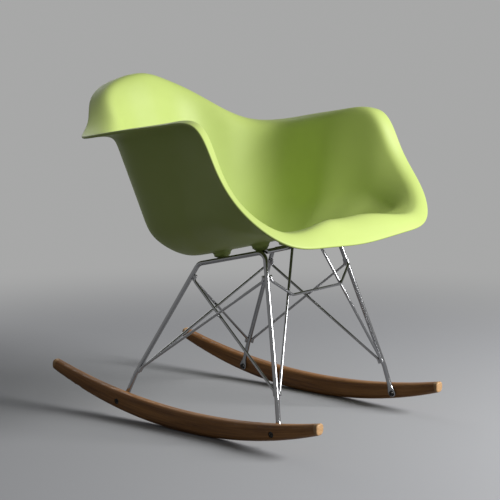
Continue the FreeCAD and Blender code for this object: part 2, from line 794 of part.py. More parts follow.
def build_foot_bolt(end, side, sign):
    """Washer and bolt against the eyelet, and the sleeve nut in the wood."""
    tag = "%s_%s" % (end, side)
    half = size("rocker_thick") / 2
    seat = -half - size("eyelet_thick")

    washer_place = across(foot_point(end, sign, seat - size("washer_thick")), sign)
    disc = cylinder("WasherDisc_" + tag, washer_place, "<washer_diameter>",
                    "<washer_thick>")
    hole = cylinder("WasherHole_" + tag, raised(washer_place, -OVERCUT),
                    "<bolt_diameter> + 2 * <fit_gap>",
                    "<washer_thick> + %d" % (2 * OVERCUT))
    hand_over(cut("Washer_" + tag, disc, [hole]), "foot_washer_" + tag)

    bolt_top = seat - size("washer_thick") - size("bolt_head_height")
    bolt_place = across(foot_point(end, sign, bolt_top), sign)
    head = doc.addObject("Part::Cone", "BoltHead_" + tag)
    bind(head, Radius1="<bolt_head_top> / 2", Radius2="<bolt_head> / 2",
         Height="<bolt_head_height>")
    head.Placement = bolt_place
    shank = cylinder("BoltShank_" + tag, raised(bolt_place, size("bolt_head_height") / 2),
                     "<bolt_diameter>",
                     "<bolt_head_height> / 2 + <washer_thick> + <eyelet_thick>"
                     " + <rocker_thick> - <recess_depth> - <bolt_end_gap>")
    key = doc.addObject("Part::Prism", "BoltKey_" + tag)
    bind(key, Circumradius="<hex_key> / sqrt(3)",
         Height="<key_depth> + %d" % OVERCUT)
    key.Placement = raised(bolt_place, -OVERCUT)
    hand_over(cut("FootBolt_" + tag, joined("BoltSolid_" + tag, [shank, head]), [key]),
              "foot_bolt_" + tag)

    floor = half - size("recess_depth")
    flange_place = across(foot_point(end, sign, floor), sign)
    flange = cylinder("SleeveFlange_" + tag, flange_place, "<sleeve_flange>",
                      "<sleeve_flange_thick>")
    barrel = cylinder("SleeveBarrel_" + tag, raised(flange_place, -size("sleeve_length")),
                      "<sleeve_diameter>", "<sleeve_length> + <sleeve_flange_thick> / 2")
    bore = cylinder("SleeveBore_" + tag,
                    raised(flange_place, -size("sleeve_length") - OVERCUT),
                    "<bolt_diameter> + 2 * <fit_gap>",
                    "<sleeve_length> + %d - <sleeve_flange_thick> / 2" % OVERCUT)
    socket = doc.addObject("Part::Prism", "SleeveKey_" + tag)
    bind(socket, Circumradius="<sleeve_key> / sqrt(3)",
         Height="<sleeve_flange_thick> + %d" % OVERCUT)
    socket.Placement = raised(flange_place, size("sleeve_key_floor"))
    hand_over(cut("SleeveNut_" + tag, joined("SleeveSolid_" + tag, [flange, barrel]),
                  [bore, socket]), "sleeve_nut_" + tag)


build_shell()
for side, sign in SIDES:
    build_side_frame(side, sign)
    build_side_braces(side, sign)
    build_rocker(side, sign)
    for end in ("front", "rear"):
        build_mount(end, side, sign)
        build_foot_bolt(end, side, sign)
build_rear_braces()
build_front_wires()

doc.recompute()
for thing in doc.Objects:
    if "Invalid" in thing.State or "Error" in thing.State:
        raise RuntimeError("%s failed: %s" % (thing.Name, thing.State))
for thing in sub_parts:
    if thing.Shape.isNull() or not thing.Shape.isValid():
        raise RuntimeError("%s has no sound shape" % thing.Label)

os.makedirs("parts", exist_ok=True)
for thing in sub_parts:
    thing.Shape.exportStep("parts/%s.step" % thing.Label)
    print("%-30s %d solid(s) %10.1f mm3" % (
        thing.Label, len(thing.Shape.Solids), thing.Shape.Volume))
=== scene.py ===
# %% [markdown]
# A moulded plastic rocking chair: a one-piece armchair shell on a chromed rod
# and wire base, bolted to two bent wooden rockers. The engineering model is
# loaded first as a fixed frame, and every surface made here is laid over it in
# the same place, in metres. X runs across the chair, the front faces -Y and
# +Z is up.

# %% Load the fixed frame
import math

import bpy
import numpy as np
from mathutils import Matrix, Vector


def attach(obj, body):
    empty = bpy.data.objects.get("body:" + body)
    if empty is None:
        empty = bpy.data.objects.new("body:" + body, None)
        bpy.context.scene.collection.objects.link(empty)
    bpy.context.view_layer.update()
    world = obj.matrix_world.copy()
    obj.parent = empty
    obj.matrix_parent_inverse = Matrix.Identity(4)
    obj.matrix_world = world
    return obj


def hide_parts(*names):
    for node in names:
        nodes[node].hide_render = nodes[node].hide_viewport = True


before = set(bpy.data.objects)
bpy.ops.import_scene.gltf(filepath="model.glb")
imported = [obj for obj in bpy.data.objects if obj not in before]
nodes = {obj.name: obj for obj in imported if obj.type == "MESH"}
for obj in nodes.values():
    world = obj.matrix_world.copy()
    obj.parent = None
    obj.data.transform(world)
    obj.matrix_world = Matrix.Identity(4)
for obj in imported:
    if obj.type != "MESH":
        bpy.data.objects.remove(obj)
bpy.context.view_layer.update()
SIDES = (("right", -1), ("left", 1))
print("The frame holds", len(nodes), "nodes")

# %% [markdown]
# The camera stands where the photographer stood. Its place, heading and lens
# were worked out from pairs of points that mirror each other on the two halves
# of the chair. A long lens from three metres away keeps the shape calm.

# %% The camera
CAMERA_PLACE = (-2.344, -1.89754, 0.79671)
CAMERA_AZIMUTH = math.radians(-51.22)
CAMERA_ELEVATION = math.radians(8.74)
SENSOR = 36.0
LENS = 107.99


def aim(thing, away):
    """Turn a camera or a lamp so that it looks along the way opposite to away."""
    thing.rotation_mode = "QUATERNION"
    thing.rotation_quaternion = (-away).to_track_quat("-Z", "Y")


def set_camera():
    """The camera's back points from the chair towards the photographer."""
    data = bpy.data.cameras.new("camera")
    data.lens, data.sensor_width = LENS, SENSOR
    camera = bpy.data.objects.new("camera", data)
    camera.location = CAMERA_PLACE
    level = math.cos(CAMERA_ELEVATION)
    aim(camera, Vector((math.sin(CAMERA_AZIMUTH) * level,
                        -math.cos(CAMERA_AZIMUTH) * level,
                        math.sin(CAMERA_ELEVATION))))
    bpy.context.scene.collection.objects.link(camera)
    bpy.context.scene.camera = camera


set_camera()
bpy.context.scene.view_settings.view_transform = "Standard"
print("Camera set", CAMERA_PLACE)

# %% [markdown]
# Most surfaces here are rings of points: round a rod, round the shell, round a
# weld. One helper turns a block of rings into a mesh. It makes a quad between
# neighbouring rings and a fan to a single point at each end, so every piece is
# closed. The signed volume tells whether the faces look outwards.

# %% Rings to mesh


def unit(vectors):
    """Each vector divided by its own length."""
    return vectors / np.linalg.norm(vectors, axis=-1, keepdims=True)


def ring_faces(rows, columns, first):
    """Corner numbers of the quads between rings, the last column joined to the first."""
    index = first + np.arange(rows * columns).reshape(rows, columns)
    beside = np.roll(index, -1, axis=1)
    quads = np.stack([index[:-1], beside[:-1], beside[1:], index[1:]], axis=-1)
    start_tip = np.full(columns, first + rows * columns)
    start_fan = np.stack([start_tip, beside[0], index[0]], axis=-1)
    end_fan = np.stack([start_tip + 1, index[-1], beside[-1]], axis=-1)
    return quads.reshape(-1, 4), np.vstack([start_fan, end_fan])


def closed_piece(rings, start, end, first):
    """Points and faces of one closed surface, turned so that it encloses a volume.

    Volume is a sixth of the sum, over its triangles, of corner . (corner x corner).
    """
    rows, columns = rings.shape[:2]
    points = np.vstack([rings.reshape(-1, 3), [start, end]])
    quads, fans = ring_faces(rows, columns, 0)
    triangles = np.vstack([quads[:, :3], quads[:, [0, 2, 3]], fans])
    a, b, c = (points[triangles[:, i]] for i in range(3))
    volume = np.einsum("ij,ij->", a, np.cross(b, c)) / 6
    if volume < 0:
        quads, fans = quads[:, ::-1], fans[:, ::-1]
    return points, quads + first, fans + first, abs(volume)


def add_mesh(name, pieces, material, replaced=(), lengths=None):
    """One object from several closed surfaces, riding on the chair.

    Each piece is (rings, start point, end point). lengths gives, for a rod, the
    way along it at each ring, and becomes the piece's own map with the way round.
    """
    points, faces, volume, first = [], [], 0, 0
    for rings, start, end in pieces:
        corners, quads, fans, amount = closed_piece(rings, start, end, first)
        points.append(corners)
        faces += quads.tolist() + fans.tolist()
        volume += amount
        first += len(corners)
    mesh = bpy.data.meshes.new(name)
    mesh.from_pydata(np.vstack(points).tolist(), [], faces)
    mesh.polygons.foreach_set("use_smooth", np.ones(len(faces), bool))
    mesh.materials.append(material)
    mesh.update()
    if lengths is not None:
        map_along(mesh, pieces[0][0].shape[1], lengths)
    thing = bpy.data.objects.new(name, mesh)
    bpy.context.scene.collection.objects.link(thing)
    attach(thing, "root")
    if replaced:
        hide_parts(*replaced)
    print("%-24s %6d faces %9.2f cm3" % (name, len(faces), volume * 1e6))
    return thing


def map_along(mesh, columns, lengths):
    """A map with the way along a rod in x and the share of the way round in y."""
    corner = np.zeros(len(mesh.loops), np.int32)
    mesh.loops.foreach_get("vertex_index", corner)
    ring = np.minimum(corner // columns, len(lengths) - 1)
    around = (corner % columns) / columns
    starts = np.zeros(len(mesh.polygons), np.int32)
    mesh.polygons.foreach_get("loop_start", starts)
    sizes = np.diff(np.append(starts, len(corner)))
    highest = np.repeat(np.maximum.reduceat(around, starts), sizes)
    around = np.where((highest > 0.75) & (around < 0.25), around + 1, around)
    places = np.stack([np.asarray(lengths)[ring], around], axis=-1)
    layer = mesh.uv_layers.new(name="along")
    layer.data.foreach_set("uv", places.astype(np.float32).ravel())

# %% [markdown]
# Materials are built from shader nodes. A few effects come back in several of
# them: a fine moulded grain, soft smears left by hands, drawn lines along
# metal. Each is a node group made once, with its own sockets, and a material
# places it with the strength that suits it.

# %% Node groups


def new_group(name, inputs, outputs):
    """An empty node group with named sockets, each given as (name, kind, value)."""
    tree = bpy.data.node_groups.new(name, "ShaderNodeTree")
    for label, kind, value in inputs:
        socket = tree.interface.new_socket(label, in_out="INPUT", socket_type=kind)
        if value is not None:
            socket.default_value = value
    for label, kind in outputs:
        tree.interface.new_socket(label, in_out="OUTPUT", socket_type=kind)
    return tree, tree.nodes.new("NodeGroupInput"), tree.nodes.new("NodeGroupOutput")


def place(tree, kind, settings=None, **sockets):
    """Add a node, set its own settings, and fill its sockets with values or links."""
    node = tree.nodes.new(kind)
    for name, value in (settings or {}).items():
        setattr(node, name, value)
    for name, value in sockets.items():
        socket = node.inputs[int(name[1:]) if name[0] == "_" else name.replace("_", " ")]
        if isinstance(value, bpy.types.NodeSocket):
            tree.links.new(value, socket)
        else:
            socket.default_value = value
    return node


def arithmetic(tree, operation, first, second=0.5, third=0.5):
    """The result socket of one Math node."""
    node = place(tree, "ShaderNodeMath", {"operation": operation},
                 _0=first, _1=second, _2=third)
    return node.outputs[0]


VECTOR, FLOAT = "NodeSocketVector", "NodeSocketFloat"


def make_grain_group():
    """Two sizes of noise added together: a fine sand and a wider orange peel."""
    tree, source, result = new_group(
        "moulded_grain", [("Place", VECTOR, None), ("Grain", FLOAT, 1800.0),
                          ("Peel", FLOAT, 130.0), ("Peel Share", FLOAT, 0.5)],
        [("Height", FLOAT)])
    fine = place(tree, "ShaderNodeTexNoise", Vector=source.outputs["Place"],
                 Scale=source.outputs["Grain"], Detail=2.0, Roughness=0.6)
    wide = place(tree, "ShaderNodeTexNoise", Vector=source.outputs["Place"],
                 Scale=source.outputs["Peel"], Detail=1.0)
    both = place(tree, "ShaderNodeMix", {"data_type": "FLOAT"},
                 _0=source.outputs["Peel Share"], _2=fine.outputs[0], _3=wide.outputs[0])
    tree.links.new(both.outputs[0], result.inputs["Height"])
    return tree


def make_smear_group():
    """A value that drifts between Low and High, as handled surfaces do."""
    tree, source, result = new_group(
        "soft_smears", [("Place", VECTOR, None), ("Scale", FLOAT, 9.0),
                        ("Low", FLOAT, 0.4), ("High", FLOAT, 0.5)],
        [("Value", FLOAT)])
    noise = place(tree, "ShaderNodeTexNoise", Vector=source.outputs["Place"],
                  Scale=source.outputs["Scale"], Detail=4.0, Roughness=0.55,
                  Distortion=0.6)
    spread = place(tree, "ShaderNodeMapRange", _0=noise.outputs[0], _1=0.32, _2=0.68,
                   _3=source.outputs["Low"], _4=source.outputs["High"])
    tree.links.new(spread.outputs[0], result.inputs["Value"])
    return tree


def make_line_group():
    """Fine lines drawn out along the first axis of the place that is given."""
    tree, source, result = new_group(
        "drawn_lines", [("Place", VECTOR, None), ("Across", FLOAT, 40.0),
                        ("Stretch", FLOAT, 0.02)],
        [("Height", FLOAT)])
    parts = place(tree, "ShaderNodeSeparateXYZ", _0=source.outputs["Place"])
    along = arithmetic(tree, "MULTIPLY", parts.outputs[0], source.outputs["Stretch"])
    pulled = place(tree, "ShaderNodeCombineXYZ", _0=along, _1=parts.outputs[1],
                   _2=parts.outputs[2])
    noise = place(tree, "ShaderNodeTexNoise", Vector=pulled.outputs[0],
                  Scale=source.outputs["Across"], Detail=3.0, Roughness=0.7)
    tree.links.new(noise.outputs[0], result.inputs["Height"])
    return tree


GRAIN, SMEARS, LINES = make_grain_group(), make_smear_group(), make_line_group()
print("Node groups:", GRAIN.name, SMEARS.name, LINES.name)

# %% [markdown]
# Every material starts the same way: a Principled shader and the object's own
# coordinates. Numbers that hold for the whole surface sit on the shader itself.

# %% Material helpers


def new_material(name, **shader_values):
    """A material with its node tree, its shader and its Object coordinates."""
    material = bpy.data.materials.new(name)
    material.use_nodes = True
    tree = material.node_tree
    shader = tree.nodes["Principled BSDF"]
    for label, value in shader_values.items():
        shader.inputs[label.replace("_", " ")].default_value = value
    coordinates = tree.nodes.new("ShaderNodeTexCoord")
    return material, tree, shader, coordinates


def use(tree, group, **sockets):
    """Place a node group and fill its sockets."""
    return place(tree, "ShaderNodeGroup", {"node_tree": group}, **sockets)


def colours(tree, factor, *stops):
    """A colour ramp from (position, colour) stops."""
    ramp = place(tree, "ShaderNodeValToRGB", _0=factor)
    elements = ramp.color_ramp.elements
    while len(elements) < len(stops):
        elements.new(0.5)
    for element, (position, colour) in zip(elements, stops):
        element.position, element.color = position, colour + (1.0,)
    return ramp.outputs[0]


def roughen(tree, shader, height, distance, strength=1.0):
    """Feed a height, whose full swing is distance in metres, to the shader's normal."""
    bump = place(tree, "ShaderNodeBump", Height=height, Strength=strength,
                 Distance=distance)
    tree.links.new(bump.outputs[0], shader.inputs["Normal"])

# %% [markdown]
# The shell is dyed polypropylene from a lightly blasted mould: even colour, a
# fine grain that breaks up highlights, and a faint shine where it is touched.
# Its lip edges are painted lighter, partly for wear and partly as painted sheen.

# %% Shell plastic
# The lightest lime colours the lip's convex edges: partly wear, partly painted sheen.
LIME_DEEP, LIME, LIME_WORN_AND_SHEEN = (0.46, 0.57, 0.15), (0.52, 0.63, 0.19), (0.60, 0.70, 0.28)


def make_shell_plastic():
    """Matt lime plastic, a shade lighter along its lip: partly wear, partly painted sheen."""
    material, tree, shader, at = new_material("green_shell", Specular_IOR_Level=0.42)
    here = at.outputs["Object"]
    drift = use(tree, SMEARS, Place=here, Scale=3.5, Low=0.25, High=0.75)
    # Convex edges, found by pointiness, are painted lighter: partly wear, partly painted
    # sheen.
    worn_and_sheen_edge = place(tree, "ShaderNodeMapRange",
                   _0=tree.nodes.new("ShaderNodeNewGeometry").outputs["Pointiness"],
                   _1=0.53, _2=0.62, _3=0.0, _4=0.6)
    shade = arithmetic(tree, "ADD", arithmetic(
        tree, "MULTIPLY", drift.outputs[0], 0.5), worn_and_sheen_edge.outputs[0])
    tint = colours(tree, shade, (0.1, LIME_DEEP), (0.45, LIME), (1.0, LIME_WORN_AND_SHEEN))
    tree.links.new(tint, shader.inputs["Base Color"])
    shine = use(tree, SMEARS, Place=here, Scale=14.0, Low=0.44, High=0.56)
    tree.links.new(shine.outputs[0], shader.inputs["Roughness"])
    sand = use(tree, GRAIN, Place=here, Grain=1500.0, Peel=260.0, Peel_Share=0.35)
    roughen(tree, shader, sand.outputs[0], 0.00012, 0.6)
    return material


SHELL_PLASTIC = make_shell_plastic()
print("Made", SHELL_PLASTIC.name)

# %% [markdown]
# The base is bright chrome over drawn steel. Chrome has hardly any colour of
# its own: what it shows is the room, a little softened by drawing lines along
# the rod and by the haze that handling leaves. Its colour here is set well
# below that of real chrome, as painted shade for the dark reflections of a dark room.

# %% Metals


def make_chrome(name, haze=(0.11, 0.15), drawn=True, tone=0.32):
    """Chrome plate; on swept rods its lines follow the rod's own map."""
    material, tree, shader, at = new_material(name, Metallic=1.0)
    here = at.outputs["Object"]
    tint = use(tree, SMEARS, Place=here, Scale=22.0, Low=0.2, High=0.8)
    # The tone is darker than real chrome: painted shade standing in for dark reflections.
    tree.links.new(colours(tree, tint.outputs[0],
                           (0.0, (tone * 0.93, tone * 0.94, tone * 0.97)),
                           (1.0, (tone, tone, tone * 1.02))),
                   shader.inputs["Base Color"])
    shine = use(tree, SMEARS, Place=here, Scale=60.0, Low=haze[0], High=haze[1])
    tree.links.new(shine.outputs[0], shader.inputs["Roughness"])
    if drawn:
        rod_map = place(tree, "ShaderNodeUVMap", {"uv_map": "along"})
        lines = use(tree, LINES, Place=rod_map.outputs[0], Across=36.0, Stretch=0.35)
        roughen(tree, shader, lines.outputs[0], 0.000005, 0.5)
    else:
        grain = use(tree, GRAIN, Place=here, Grain=900.0, Peel=300.0, Peel_Share=0.6)
        roughen(tree, shader, grain.outputs[0], 0.00003, 0.5)
    return material


def make_turned_metal(name, dark, light, rough, across=2200.0):
    """A small turned fastener, its colour drifting at random between a darker and a lighter
    metal.
    """
    material, tree, shader, at = new_material(name, Metallic=1.0)
    here = at.outputs["Object"]
    worn = use(tree, SMEARS, Place=here, Scale=240.0, Low=0.0, High=1.0)
    tree.links.new(colours(tree, worn.outputs[0], (0.25, dark), (0.9, light)),
                   shader.inputs["Base Color"])
    shine = use(tree, SMEARS, Place=here, Scale=420.0, Low=rough, High=rough + 0.14)
    tree.links.new(shine.outputs[0], shader.inputs["Roughness"])
    tooling = use(tree, LINES, Place=here, Across=across, Stretch=0.3)
    roughen(tree, shader, tooling.outputs[0], 0.00003, 0.6)
    return material


# Every chrome piece, welds too, takes a darkened tone as painted shade for dark reflections.
CHROME = make_chrome("chromed_rod")
CHROME_PLATE = make_chrome("chromed_plate", drawn=False)
WELD_METAL = make_chrome("chromed_weld", haze=(0.16, 0.30), drawn=False, tone=0.34)
BLACK_OXIDE = make_turned_metal("dark_bolt", (0.020, 0.019, 0.018),
                                (0.075, 0.070, 0.066), 0.34)
ZINC = make_turned_metal("zinc_screw", (0.46, 0.47, 0.50), (0.66, 0.66, 0.66), 0.24)
BRASS = make_turned_metal("insert_brass", (0.58, 0.42, 0.17), (0.78, 0.62, 0.30), 0.26)
print("Made the metals")

# %% [markdown]
# The seat rests on thin black pads, moulded rubber with a dry, grainy face.

# %% Pad rubber


def make_rubber():
    """Dull black rubber with dust in its grain."""
    material, tree, shader, at = new_material("black_pad", Specular_IOR_Level=0.35)
    here = at.outputs["Object"]
    dust = use(tree, SMEARS, Place=here, Scale=160.0, Low=0.0, High=1.0)
    tree.links.new(colours(tree, dust.outputs[0], (0.3, (0.018, 0.018, 0.019)),
                           (1.0, (0.05, 0.05, 0.052))), shader.inputs["Base Color"])
    shine = use(tree, SMEARS, Place=here, Scale=300.0, Low=0.62, High=0.82)
    tree.links.new(shine.outputs[0], shader.inputs["Roughness"])
    sand = use(tree, GRAIN, Place=here, Grain=2400.0, Peel=700.0)
    roughen(tree, shader, sand.outputs[0], 0.0001, 0.7)
    return material


PAD_RUBBER = make_rubber()
print("Made", PAD_RUBBER.name)

# %% [markdown]
# The rockers are strips of wood bent to an arc, so the grain runs with the
# bend. The pattern is drawn in polar coordinates about the centre of the bend:
# the way along the arc, the distance from the centre and the way across. The
# ends are sawn across the fibres, so they show rings and pores instead.

# %% Rocker sizes
ROCKER_HALF, ROCKER_SAG, ROCKER_DEPTH = 0.343, 0.0615, 0.0415
ROCKER_END, ROCKER_THICK, ROCKER_OUT = 0.0218, 0.022, 0.205
REST_TURN = math.radians(2.0)
UNDER_RADIUS = (ROCKER_HALF ** 2 + ROCKER_SAG ** 2) / (2 * ROCKER_SAG)
OVER_SAG = ROCKER_SAG - ROCKER_DEPTH + ROCKER_END
OVER_RADIUS = (ROCKER_HALF ** 2 + OVER_SAG ** 2) / (2 * OVER_SAG)
GRAIN_RADIUS = (UNDER_RADIUS + OVER_RADIUS) / 2


def on_rocker(along, height):
    """Depth and height in the chair of a point given on the rocker's own outline.

    The outline is rolled forward by the rest angle about the centre of its lower
    arc, which stands one radius over the floor.
    """
    shift = -math.sin(REST_TURN) * (UNDER_RADIUS - ROCKER_SAG - ROCKER_END / 2)
    sine, cosine = math.sin(REST_TURN), math.cos(REST_TURN)
    return (shift + UNDER_RADIUS * sine + along * cosine - height * sine,
            UNDER_RADIUS * (1 - cosine) + along * sine + height * cosine)


def rocker_middle(along):
    """Height of the middle of the wood on its outline, between its two arcs."""
    low = UNDER_RADIUS - math.sqrt(UNDER_RADIUS ** 2 - along ** 2)
    high = ROCKER_DEPTH + OVER_RADIUS - math.sqrt(OVER_RADIUS ** 2 - along ** 2)
    return (low + high) / 2


print("Rocker arcs %.3f and %.3f m" % (UNDER_RADIUS, OVER_RADIUS))

# %% [markdown]
# The wood is oiled and has hardly any gloss. Three sizes of noise, all pulled
# out along the bend, give its broad figure, its streaks and its pores.

# %% Rocker wood
WOOD_PALE, WOOD, WOOD_DARK = (0.46, 0.215, 0.066), (0.30, 0.130, 0.036), (0.14, 0.056, 0.016)
END_PALE, END_DARK = (0.62, 0.40, 0.20), (0.34, 0.17, 0.07)


def make_wood():
    """Oiled brown wood: streaks along the bend, pores, and pale sawn ends."""
    material, tree, shader, at = new_material("rocker_wood", Coat_Weight=0.06,
                                              Coat_Roughness=0.28, Specular_IOR_Level=0.3)
    centre = on_rocker(0, ROCKER_DEPTH / 2 + GRAIN_RADIUS)
    centred = place(tree, "ShaderNodeMapping", Vector=at.outputs["Object"],
                    Location=(0, -centre[0], -centre[1]))
    parts = place(tree, "ShaderNodeSeparateXYZ", _0=centred.outputs[0])
    across, depth, height = parts.outputs
    drop = arithmetic(tree, "MULTIPLY", height, -1.0)
    angle = arithmetic(tree, "ARCTAN2", depth, drop)
    angle = arithmetic(tree, "ADD", angle, -REST_TURN)
    along = arithmetic(tree, "MULTIPLY", angle, GRAIN_RADIUS)
    reach = arithmetic(tree, "SQRT", arithmetic(tree, "ADD", arithmetic(
        tree, "MULTIPLY", depth, depth), arithmetic(tree, "MULTIPLY", height, height)))
    grain_place = place(tree, "ShaderNodeCombineXYZ", _0=along, _1=reach, _2=across)

    def stretched(scale, along_scale, detail, distortion=0.0):
        """Noise whose spots are pulled out along the bend."""
        pulled = place(tree, "ShaderNodeMapping", Vector=grain_place.outputs[0],
                       Scale=(along_scale, 1.0, 1.0))
        return place(tree, "ShaderNodeTexNoise", Vector=pulled.outputs[0], Scale=scale,
                     Detail=detail, Roughness=0.6, Distortion=distortion).outputs[0]

    broad = stretched(55.0, 0.06, 3.0, 0.8)
    streaks = stretched(260.0, 0.03, 4.0, 0.2)
    pores = stretched(900.0, 0.035, 2.0)
    figure = arithmetic(tree, "ADD", arithmetic(tree, "MULTIPLY", broad, 0.62),
                        arithmetic(tree, "MULTIPLY", streaks, 0.38))
    face = colours(tree, figure, (0.36, WOOD_DARK), (0.5, WOOD), (0.64, WOOD_PALE))
    pore_mask = place(tree, "ShaderNodeMapRange", _0=pores, _1=0.62, _2=0.72)
    pored = place(tree, "ShaderNodeMix", {"data_type": "RGBA"},
                  _0=arithmetic(tree, "MULTIPLY", pore_mask.outputs[0], 0.55),
                  _6=face, _7=WOOD_DARK + (1.0,))

    ends = place(tree, "ShaderNodeMapRange", _0=arithmetic(tree, "ABSOLUTE", along),
                 _1=ROCKER_HALF - 0.0035, _2=ROCKER_HALF - 0.0002)
    rings = place(tree, "ShaderNodeTexWave", {"wave_type": "RINGS"},
                  Vector=grain_place.outputs[0], Scale=140.0, Distortion=2.5,
                  Detail=2.0, Detail_Scale=2.0)
    sawn = colours(tree, rings.outputs["Fac"], (0.1, END_DARK), (0.7, END_PALE))
    wood = place(tree, "ShaderNodeMix", {"data_type": "RGBA"}, _0=ends.outputs[0],
                 _6=pored.outputs[2], _7=sawn)
    tree.links.new(wood.outputs[2], shader.inputs["Base Color"])
    shine = use(tree, SMEARS, Place=at.outputs["Object"], Scale=30.0, Low=0.36, High=0.52)
    tree.links.new(shine.outputs[0], shader.inputs["Roughness"])
    roughen(tree, shader, arithmetic(tree, "SUBTRACT", streaks,
                                     arithmetic(tree, "MULTIPLY", pore_mask.outputs[0], 0.6)),
            0.00025, 0.7)
    return material


WOOD_FINISH = make_wood()
print("Made", WOOD_FINISH.name)

# %% [markdown]
# Pieces whose shape is already right keep their mesh from the frame and take a
# finish: the rockers, the plates, pads, inserts and every fastener.

# %% Finish the frame's own pieces
FINISHES = (("rocker_", WOOD_FINISH), ("mount_tab", CHROME_PLATE), ("seat_pad", PAD_RUBBER),
            ("boss_insert", BRASS), ("seat_screw", ZINC), ("foot_bolt", BLACK_OXIDE),
            ("foot_washer", BLACK_OXIDE), ("sleeve_nut", BLACK_OXIDE),
            ("side_", CHROME_PLATE), ("rear_brace", CHROME_PLATE),
            ("front_", CHROME_PLATE), ("seat_shell", SHELL_PLASTIC))
for name, node in nodes.items():
    finish = next(look for start, look in FINISHES if name.startswith(start))
    node.data.materials.clear()
    node.data.materials.append(finish)
print("Finished", len(nodes), "frame pieces")

# %% [markdown]
# The shell is one moulding. Its edge is a smooth closed curve through a few
# stations, mirrored across the chair. From each point of the edge a curve runs
# over the rolled lip, down the wall, round the heel and onto the flat of the
# seat. Carrying the curve round the edge gives the whole upper face, and the
# under face lies one wall thickness below it.

# %% Shell sizes, in metres
ARM_OUT, SEAT_FRONT, BACK_REACH = 0.314, 0.301, 0.309
FRONT_HEIGHT, ARM_START, ARM_FRONT_HEIGHT = 0.376, 0.128, 0.606
ARM_REAR_HEIGHT, BACK_HEIGHT = 0.575, 0.678
LIP_WIDTHS = ((0.05, 0.052), (0.32, 0.028), (0.66, 0.066), (0.94, 0.042))
LIP_RISES = ((0.06, 0.044), (0.34, 0.003), (0.66, 0.003), (0.90, 0.011))
SEAT_LEVEL, SEAT_SLOPE, BOWL_MIDDLE = 0.3455, 0.26, -0.035
HEEL_OUT, HEEL_LONG, HEEL_LIFT, HEEL_POWER = 0.199, 0.182, 0.010, 2.25
HEEL_CORNERS = ((0.13, 0.0), (0.30, 0.34), (0.52, 0.0))
FLAT_OUT, FLAT_LONG = 0.095, 0.085
SHELL_WALL = 0.0056
CROWN_RISE, CROWN_SWELL = 0.003, 0.010
FIRST_POLE, FIRST_POLE_BACK, FIRST_POLE_FRONT = 0.12, 0.10, 0.12
WALL_POLES, SEAT_POLES = (0.42, 0.70, 0.85), (0.53, 0.24)
LIP_BULGE = 0.45
SHELL_COLUMNS = 320

# %% [markdown]
# The edge is steered by fourteen stations on one half of the chair. A spline
# through them and their mirror images joins them without a corner, as a strip
# of spring steel would.

# %% The shell's edge


def edge_stations():
    """The half edge, front to back, as on the real outline, then its mirror image."""
    out, front, back = ARM_OUT, -SEAT_FRONT, BACK_REACH
    low, start = FRONT_HEIGHT, -ARM_START
    arm, rear, top = ARM_FRONT_HEIGHT, ARM_REAR_HEIGHT, BACK_HEIGHT
    half = np.array([
        (0, front + 0.003, low + 0.002), (0.132, front, low + 0.009),
        (out - 0.085, front + 0.013, low + 0.023), (out - 0.026, front + 0.062, low + 0.076),
        (out - 0.014, start - 0.050, arm - 0.073), (out - 0.012, start, arm),
        (out - 0.012, start + 0.076, arm), (out, start + 0.178, arm - 0.015),
        (out - 0.008, start + 0.268, rear + 0.002), (out - 0.046, start + 0.316, rear + 0.001),
        (out - 0.106, back - 0.077, rear + 0.022), (0.148, back - 0.025, top - 0.042),
        (0.078, back + 0.001, top - 0.013), (0, back, top)])
    return np.vstack([half, half[-2:0:-1] * (-1, 1, 1)])


def round_spline(points, count):
    """Even places on a smooth closed curve through points.

    A cubic between neighbours, whose bending at the points comes from one set
    of equations, as in a thin spring pushed through them all.
    """
    gaps = np.linalg.norm(np.roll(points, -1, axis=0) - points, axis=1)
    gaps = gaps / gaps.sum()
    before = np.roll(gaps, 1)
    number = len(points)
    same = np.eye(number)
    system = (2 * (gaps + before)[:, None] * same
              + before[:, None] * np.roll(same, -1, axis=1)
              + gaps[:, None] * np.roll(same, 1, axis=1))
    slope = (np.roll(points, -1, axis=0) - points) / gaps[:, None]
    bend = np.linalg.solve(system, 6 * (slope - np.roll(slope, 1, axis=0)))
    knots = np.append(0, np.cumsum(gaps))
    at = np.arange(count) / count
    span = np.clip(np.searchsorted(knots, at, side="right") - 1, 0, number - 1)
    after = (span + 1) % number
    gap = gaps[span][:, None]
    done = (at - knots[span])[:, None]
    left = gap - done
    return (points[span] * left / gap + points[after] * done / gap
            + bend[span] * (left ** 3 / gap - gap * left) / 6
            + bend[after] * (done ** 3 / gap - gap * done) / 6)


edge = round_spline(edge_stations(), SHELL_COLUMNS)
print("Edge of the shell: %d points, %.2f m round" % (
    len(edge), np.linalg.norm(np.roll(edge, -1, axis=0) - edge, axis=1).sum()))

# %% [markdown]
# The curve across the lip and down into the seat is a B-spline. Ten poles
# steer it, and each pole is itself a formula of where we stand on the edge.
# Sizes such as the width of the lip ease from one value to the next.

# %% The shell's faces


def eased(turn, keys):
    """A size that changes by S-curves: each key is a place from front 0 to back 1."""
    result = np.full_like(turn, keys[0][1])
    for (low, before), (high, after) in zip(keys, keys[1:]):
        share = np.clip((turn - low) / (high - low), 0, 1)
        result += (after - before) * share * share * (3 - 2 * share)
    return result


def seat_plane(depth):
    """Height of the upper face of the tilted seat."""
    return SEAT_LEVEL - SEAT_SLOPE * depth


